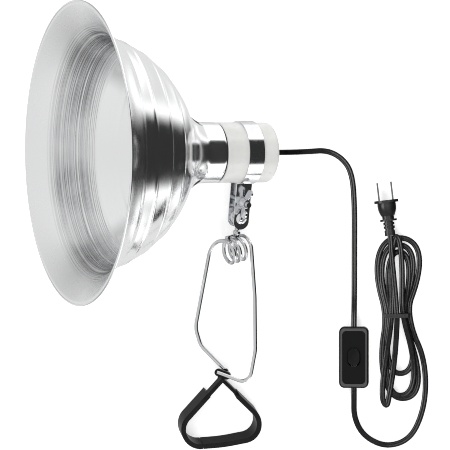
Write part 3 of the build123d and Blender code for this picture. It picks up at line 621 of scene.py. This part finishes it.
def wall_line():
    """The outer face of the sheet from the rim to the collar's rear edge, as (s, r) rows."""
    line = arc_rows((0.0, RIM_R), BRIM_MIDDLE, BRIM_BASE, ROW_STEP)
    line += arc_rows(BRIM_BASE, DOME_MIDDLE, DOME_END, ROW_STEP)
    line += arc_rows(DOME_END, NECK_MIDDLE, NECK_END, NECK_STEP)
    length = COLLAR_END - NECK_END[0]
    narrowing = (NECK_END[1] - COLLAR_R) / length
    return line + [(NECK_END[0] + step, NECK_END[1] - narrowing * step)
                   for step in range(0, int(length), COLLAR_STEP)]


def ring_height(s):
    """How far the pressed rings push the sheet outwards."""
    return sum(RING_PROUD * exp(-((s - ring) / RING_WIDTH) ** 2) for ring in RINGS)


def groove_depth(s):
    """Depth of the fine spinning grooves inside the brim and the front of the dome."""
    fade = min(1.0, max(0.0, (s - GROOVE_START) / GROOVE_FADE), max(0.0, (GROOVE_END - s) / GROOVE_FADE))
    plain = max(exp(-((s - ring) / RING_CLEAR) ** 2) for ring in RINGS)
    return GROOVE_DEPTH * fade * (1 - plain) * (0.5 - 0.5 * cos(2 * pi * s / GROOVE_PITCH))


def reflector_outline():
    """The sheet's whole outline in (s, r), and how many of its last rows are the inner face."""
    line = wall_line()
    outer = []
    inner = []
    for index, (s, r) in enumerate(line):
        before = line[max(0, index - 1)]
        after = line[min(len(line) - 1, index + 1)]
        length = hypot(after[0] - before[0], after[1] - before[1])
        out_s = -(after[1] - before[1]) / length
        out_r = (after[0] - before[0]) / length
        proud = ring_height(s)
        if s > BEAD_R * 1.4:
            outer.append((s + out_s * proud, r + out_r * proud))
            deep = proud - SHEET + groove_depth(s)
            inner.append((s + out_s * deep, r + out_r * deep))
    bead_turns = [radians(BEAD_START - BEAD_SWEEP * step / BEAD_STEPS) for step in range(BEAD_STEPS + 1)]
    bead = [(BEAD_R * (0.9 + cos(turn)), RIM_R + BEAD_R * sin(turn)) for turn in bead_turns]
    back_edge = [
        (COLLAR_END - 1.2, COLLAR_R),
        (COLLAR_END - 0.35, COLLAR_R - 0.25),
        (COLLAR_END, COLLAR_R - 1.0),
        (COLLAR_END, COLLAR_HOLE_R),
        (COLLAR_END - SHEET, COLLAR_HOLE_R),
        (COLLAR_END - SHEET, COLLAR_R - 1.4),
        (COLLAR_END - 1.4, COLLAR_R - SHEET),
    ]
    return bead + outer + back_edge + inner[::-1], len(inner)


VENT_COUNT = 3
VENT_FIRST_TURN = 30
VENT_S = 111.0
VENT_LENGTH = 13.0
VENT_WIDTH = 6.0
VENT_REACH = (20.0, 46.0)
VENT_STEPS = 24


def vent_cutter(turn):
    """A long rounded bar through the neck's wall, its length along the lamp's axis."""
    out = side * cos(turn) + lamp_up * sin(turn)
    across = axis_back.cross(out)
    radius = VENT_WIDTH / 2
    half = VENT_LENGTH / 2 - radius
    ring = []
    for step in range(VENT_STEPS):
        angle = 2 * pi * (step + 0.5) / VENT_STEPS
        along = radius * cos(angle) + (half if cos(angle) > 0 else -half)
        ring.append((along, radius * sin(angle)))
    vertices = [rim_centre + (axis_back * (VENT_S + along) + across * wide + out * r) * MM
                for r in VENT_REACH for along, wide in ring]
    faces = [tuple(range(VENT_STEPS)), tuple(reversed(range(VENT_STEPS, 2 * VENT_STEPS)))]
    for step in range(VENT_STEPS):
        after = (step + 1) % VENT_STEPS
        faces.append((step, VENT_STEPS + step, VENT_STEPS + after, after))
    mesh = bpy.data.meshes.new("vent_cutter")
    mesh.from_pydata(vertices, [], faces)
    face_outwards(mesh)
    return add_object("vent_cutter", mesh)


BRIGHT_SHEET = (0.9, 0.905, 0.91)
# The dark tint of the painted shadow in the grooves inside the shade
GROOVE_SHADOW_SHEET = (0.2, 0.204, 0.21)
SATIN_EDGE = (0.022, 0.034)
# Where painted shadow darkens the grooves inside the shade: the run in, and the run out
GROOVE_SHADOW_INSIDE = ((0.014, 0.022), (0.044, 0.056))
TURNING_SCALE = 900.0
BLOTCH_SCALE = 38.0
PATCH_SCALE = 16.0


def spun_aluminium(name, brim, dome, marks, groove_shadow=None):
    """Spun sheet: turning marks round the axis, a gloss that changes from brim to dome, and, where given a zone,
    painted shadow in streaks over its grooves.
    """
    shader = Shader(name).set(Metallic=1.0, Base_Color=(*BRIGHT_SHEET, 1.0))
    s = shader.along(rim_centre, axis_back)
    lines = shader.tree.nodes.new("ShaderNodeTexNoise")
    lines.noise_dimensions = "1D"
    lines.inputs["Scale"].default_value = TURNING_SCALE
    lines.inputs["Detail"].default_value = 6.0
    lines.inputs["Roughness"].default_value = 0.7
    shader.link(s, lines.inputs["W"])
    color = None
    # Painted shadow: the grooved zone turns darker in streaks and patches
    if groove_shadow:
        starts, ends = groove_shadow
        zone = shader.math("MULTIPLY", shader.ramp(s, 0.0, 1.0, *starts), shader.ramp(s, 1.0, 0.0, *ends))
        patches = shader.ramp(shader.noise(PATCH_SCALE, 2.0, 0.5), 0.45, 1.0, 0.4, 0.6)
        streaks = shader.math("MULTIPLY", patches, shader.ramp(lines.outputs["Fac"], 0.15, 1.0, 0.38, 0.6))
        color = shader.mix(shader.math("MULTIPLY", zone, streaks), BRIGHT_SHEET, GROOVE_SHADOW_SHEET)
    satin = shader.ramp(s, brim, dome, *SATIN_EDGE)
    uneven = shader.ramp(shader.noise(BLOTCH_SCALE, 4.0, 0.55), -0.03, 0.05, 0.3, 0.7)
    return shader.use(color, shader.math("ADD", satin, uneven), shader.bump(lines.outputs["Fac"], marks, 0.5))


def build_reflector():
    outline, inner_rows = reflector_outline()
    mesh = turned_mesh("reflector", outline, REFLECTOR_SEGMENTS)
    mesh.materials.append(spun_aluminium("spun_outside", 0.16, 0.13, 0.00006))
    mesh.materials.append(spun_aluminium("spun_inside", 0.26, 0.14, 0.00005, GROOVE_SHADOW_INSIDE))
    first_inner = (len(outline) - inner_rows) * REFLECTOR_SEGMENTS
    for face in mesh.polygons[first_inner:]:
        face.material_index = 1
    piece = add_object("reflector", mesh)
    for index in range(VENT_COUNT):
        cut_away(piece, vent_cutter(radians(VENT_FIRST_TURN + 360 / VENT_COUNT * index)))
    smooth(piece.data, 35.0)
    finish(piece, "lamp", "spun_aluminium", None, ["reflector_shell"])


build_reflector()


# ---------------------------------------------------------------- socket
PORCELAIN = (0.66, 0.66, 0.645)
PORCELAIN_CLOUD = (0.6, 0.6, 0.58)
FIBRE = (0.008, 0.007, 0.006)
FIBRE_FLECK = (0.03, 0.026, 0.022)


def porcelain_glaze():
    """Off-white glazed porcelain: soft cloudy tint, small pits and an even gloss."""
    shader = Shader("porcelain_glaze").set(IOR=1.5, Coat_Weight=0.35, Coat_Roughness=0.12)
    cloud = shader.noise(60.0, 4.0, 0.6)
    color = shader.mix(shader.ramp(cloud, 0.0, 1.0, 0.35, 0.7), PORCELAIN, PORCELAIN_CLOUD)
    pits = shader.ramp(shader.noise(900.0, 2.0, 0.5), 0.0, 1.0, 0.32, 0.42)
    return shader.use(color, shader.ramp(cloud, 0.26, 0.4, 0.3, 0.7), shader.bump(pits, 0.00006, 0.4))


def fibre_sheet():
    """Dark pressed fibre with flecks."""
    shader = Shader("fibre_sheet")
    fleck = shader.noise(1400.0, 3.0, 0.7)
    color = shader.mix(shader.ramp(fleck, 0.0, 1.0, 0.4, 0.65), FIBRE, FIBRE_FLECK)
    return shader.use(color, shader.ramp(fleck, 0.7, 0.9), shader.bump(fleck, 0.0001, 0.5))


SHELL_R = 13.2
SHELL_WALL = 0.5
SHELL_FRONT = 130.0
SHELL_REAR = 154.0
SHELL_SHEET = 0.35 * MM
# The edge turned in at the rear, as mm before it and radius
SHELL_LIP = ((1.0, 12.6), (0.1, 11.9), (0.0, 11.0), (0.0, 9.0))
SHELL_SEGMENTS = 72
THREAD_PITCH = 3.63
THREAD_DEPTH = 0.8
THREAD_FADE = 1.5
THREAD_STEP = 0.3
# How far before the rear the tube's rows end, and its thread
TUBE_STOP = 2.0
THREAD_STOP = 2.2


def build_screw_shell(material):
    """The lamp thread: a sheet tube rolled into a round thread, and turned in at its rear."""
    count = int((SHELL_REAR - TUBE_STOP - SHELL_FRONT) / THREAD_STEP)
    rows = [(SHELL_FRONT + row * THREAD_STEP, SHELL_R, True) for row in range(count + 1)]
    rows += [(SHELL_REAR - before, r, False) for before, r in SHELL_LIP]
    vertices = []
    for s, r, threaded in rows:
        fade = min(1.0, (s - SHELL_FRONT) / THREAD_FADE,
                   max(0.0, (SHELL_REAR - THREAD_STOP - s) / THREAD_FADE))
        for segment in range(SHELL_SEGMENTS):
            turn = 2 * pi * segment / SHELL_SEGMENTS
            wave = 0.5 - 0.5 * cos(2 * pi * s / THREAD_PITCH - turn)
            inset = -THREAD_DEPTH * fade * wave + SHELL_WALL if threaded else 0.0
            vertices.append(lamp_point(s, r + inset, turn))
    faces = []
    for row in range(len(rows) - 1):
        here = row * SHELL_SEGMENTS
        behind = here + SHELL_SEGMENTS
        for segment in range(SHELL_SEGMENTS):
            after = (segment + 1) % SHELL_SEGMENTS
            faces.append((here + segment, here + after, behind + after, behind + segment))
    mesh = bpy.data.meshes.new("screw_shell")
    mesh.from_pydata(vertices, [], faces)
    piece = add_object("bulb_thread", mesh)
    sheet = piece.modifiers.new("sheet", "SOLIDIFY")
    sheet.thickness = SHELL_SHEET
    sheet.offset = 0
    apply_modifiers(piece)
    smooth(piece.data, 50.0)
    finish(piece, "lamp", "shell_aluminium", material, ["screw_shell"])


glaze = porcelain_glaze()
shell_metal = plated_steel("shell_aluminium", (0.78, 0.78, 0.76), 0.25, 300.0, 0.2)
brass = plated_steel("brass", (0.75, 0.55, 0.25), 0.28, 300.0, 0.3)
copper = plated_steel("tinned_copper", (0.72, 0.45, 0.3), 0.3, 300.0, 0.3)
fibre = fibre_sheet()
screw_steel = plated_steel("screw_steel", (0.55, 0.55, 0.56), 0.3, 400.0, 0.35)
dress(glaze, "socket_body", "socket_cap")
# collar_gasket is dark fibre, and draws the dark line between the shade's collar and the porcelain
dress(fibre, "collar_gasket", "contact_insulator")
dress(brass, "centre_contact", "terminal_plates")
dress(copper, "socket_leads")
dress(screw_steel, "shell_rivets", "terminal_screws", "cap_screws", "switch_screws", "shade_ring",
      "switch_contacts")
build_screw_shell(shell_metal)


# ---------------------------------------------------------------- bracket and clamp
WIRE_TINT = (0.66, 0.665, 0.675, 1.0)
strap_steel = plated_steel("strap_steel", (0.8, 0.81, 0.83), 0.13)
small_steel = plated_steel("small_steel", (0.66, 0.67, 0.69), 0.08)
nut_zinc = plated_steel("nut_zinc", (0.7, 0.71, 0.73), 0.08)
wire = Shader("wire_steel").set(Metallic=1.0, Base_Color=WIRE_TINT, Roughness=0.04).material
nickel = plated_steel("blade_nickel", (0.2, 0.2, 0.2), 0.22)
dress(strap_steel, "strap_bracket")
dress(small_steel, "clamp_bolt", "washer", "swivel_ball", "swivel_stud")
dress(wire, "coil_spring")
dress(nickel, "plug_blades")
WIRE_R = 1.75 * MM
ARC_STEP = radians(5)
COIL_AXIS = Vector((0.76, 0.22, -0.61)).normalized()
COIL_R = 10.9 * MM
COIL_PITCH = 6.6 * MM
COIL_TURNS = 3
# Each arm leaves the coil straight, and then turns at these points with these radii
LEFT_STRAIGHT = 18.0 * MM
LEFT_POINTS = [(0.0374, -0.0905, 0.0076), (0.0416, -0.1068, 0.0064), (0.0646, -0.1316, 0.0044)]
LEFT_RADII = (0.017, 0.024, 0.018)
RIGHT_STRAIGHT = 14.0 * MM
RIGHT_POINTS = [(0.0944, -0.062, 0.0196), (0.0936, -0.112, 0.0176), (0.0872, -0.143, 0.0162),
                (0.0576, -0.1316, 0.0156)]
RIGHT_RADII = (0.013, 0.08, 0.028, 0.009)


def rounded_line(points, radii):
    """Straight runs joined by tangent arcs, as points."""
    line = [points[0]]
    for before, corner, after, radius in zip(points, points[1:], points[2:], radii):
        back = (before - corner).normalized()
        ahead = (after - corner).normalized()
        turn = pi - back.angle(ahead)
        centre = corner + (back + ahead).normalized() * (radius / cos(turn / 2))
        first = (corner + back * (radius * tan(turn / 2)) - centre).normalized()
        last = (corner + ahead * (radius * tan(turn / 2)) - centre).normalized()
        steps = max(2, round(turn / ARC_STEP))
        line += [centre + first.slerp(last, step / steps) * radius for step in range(steps + 1)]
    return line + [points[-1]]


def tube_mesh(name, line, radius, segments=20):
    """A round tube along a line of points, with closed ends."""
    across = (line[1] - line[0]).orthogonal().normalized()
    vertices = []
    for index, point in enumerate(line):
        way = (line[min(index + 1, len(line) - 1)] - line[max(index - 1, 0)]).normalized()
        across = (across - way * across.dot(way)).normalized()
        other = way.cross(across)
        vertices += [point + (across * cos(turn) + other * sin(turn)) * radius
                     for turn in (2 * pi * step / segments for step in range(segments))]
    faces = [tuple(range(segments)), tuple(reversed(range(len(vertices) - segments, len(vertices))))]
    for row in range(0, len(vertices) - segments, segments):
        faces += [(row + step, row + segments + step, row + segments + (step + 1) % segments,
                   row + (step + 1) % segments) for step in range(segments)]
    mesh = bpy.data.meshes.new(name)
    mesh.from_pydata(vertices, [], faces)
    smooth(mesh, 50.0)
    return mesh


def coil_end(turns):
    """A point of the coil's wire and the wire's direction there."""
    top = (side - COIL_AXIS * COIL_AXIS.y).normalized()
    third = COIL_AXIS.cross(top)
    start = coil_centre - COIL_AXIS * (COIL_PITCH * COIL_TURNS / 2)
    return start + top * COIL_R + COIL_AXIS * (COIL_PITCH * turns), (
        third * COIL_R + COIL_AXIS * (COIL_PITCH / (2 * pi))).normalized()


def build_arms():
    near_end, near_way = coil_end(0)
    far_end, far_way = coil_end(COIL_TURNS)
    for name, start, ahead, points, radii in (
            ("left_arm", near_end, near_way * -LEFT_STRAIGHT, LEFT_POINTS, LEFT_RADII),
            ("right_arm", far_end, far_way * RIGHT_STRAIGHT, RIGHT_POINTS, RIGHT_RADII)):
        line = rounded_line([start, start + ahead] + [Vector(point) for point in points], radii)
        piece = add_object(name + "_wire", tube_mesh(name + "_wire", line, WIRE_R))
        finish(piece, name, "wire_steel", wire, [name])


build_arms()

BOLT_HOLE_R = 2.56 * MM
BORE_REACH = 0.05
BORE_SEGMENTS = 48
CAST_VOXEL = 0.22 * MM
MELT_FACTOR = 0.5
MELT_ROUNDS = 14


def build_wing_nut():
    """The wing nut as cast: the same shape with its edges melted round, and its hole cut clean."""
    piece = add_object("wing_nut_cast", nodes["wing_nut"].data.copy())
    cells = piece.modifiers.new("cells", "REMESH")
    cells.mode = "VOXEL"
    cells.voxel_size = CAST_VOXEL
    melt = piece.modifiers.new("melt", "SMOOTH")
    melt.factor = MELT_FACTOR
    melt.iterations = MELT_ROUNDS
    apply_modifiers(piece)
    ends = [bolt_centre - bolt_dir * BORE_REACH, bolt_centre + bolt_dir * BORE_REACH]
    cut_away(piece, add_object("bore", tube_mesh("bore", ends, BOLT_HOLE_R, BORE_SEGMENTS)))
    smooth(piece.data, 50.0)
    finish(piece, "wing_nut", "cast_zinc", nut_zinc, ["wing_nut"])


build_wing_nut()


# ---------------------------------------------------------------- black parts
PANEL_Z = 13.42 * MM
PANEL_EDGE = 0.05 * MM
DEEP_BLACK = (0.003, 0.003, 0.0032)
SOFT_BLACK = (0.004, 0.004, 0.0042)
CASE_BLACK = (0.005, 0.005, 0.0052)
# The lighter black of the painted highlight on the switch cover's bevel
HIGHLIGHT_BLACK = (0.07, 0.07, 0.072)


def bevelled_black():
    """The switch cover's black: its panel almost matt black, and a painted highlight that makes the bevel round it
    lighter.
    """
    shader = Shader("bevelled_black").set(Specular_IOR_Level=PLASTIC_SHEEN, Roughness=0.34)
    parts = shader.tree.nodes.new("ShaderNodeSeparateXYZ")
    shader.link(shader.coords, parts.inputs[0])
    # Painted highlight: above the panel's height the black turns lighter, drawing the bevel's shine
    edge = shader.ramp(parts.outputs["Z"], 0.0, 1.0, PANEL_Z, PANEL_Z + PANEL_EDGE)
    return shader.use(shader.mix(edge, DEEP_BLACK, HIGHLIGHT_BLACK))


rubber = moulded("jaw_rubber", SOFT_BLACK, 0.35, 0.00003, 1200.0)
jaw_coat = moulded("jaw_coat", SOFT_BLACK, 0.3, 0.00002)
switch_black = moulded("switch_black", CASE_BLACK, 0.34, 0.00002)
plug_black = moulded("plug_black", SOFT_BLACK, 0.28, 0.00002)
button_black = moulded("button_black", DEEP_BLACK, 0.18, 0.00001)
dress(rubber, "left_jaw_sleeve", "right_jaw_sleeve")
dress(jaw_coat, "left_jaw_strip", "right_jaw_strip")
dress(switch_black, "switch_base")
dress(bevelled_black(), "switch_cover")
dress(plug_black, "twist_tie", "plug_body", "cord_bushing")
dress(button_black, "switch_rocker")
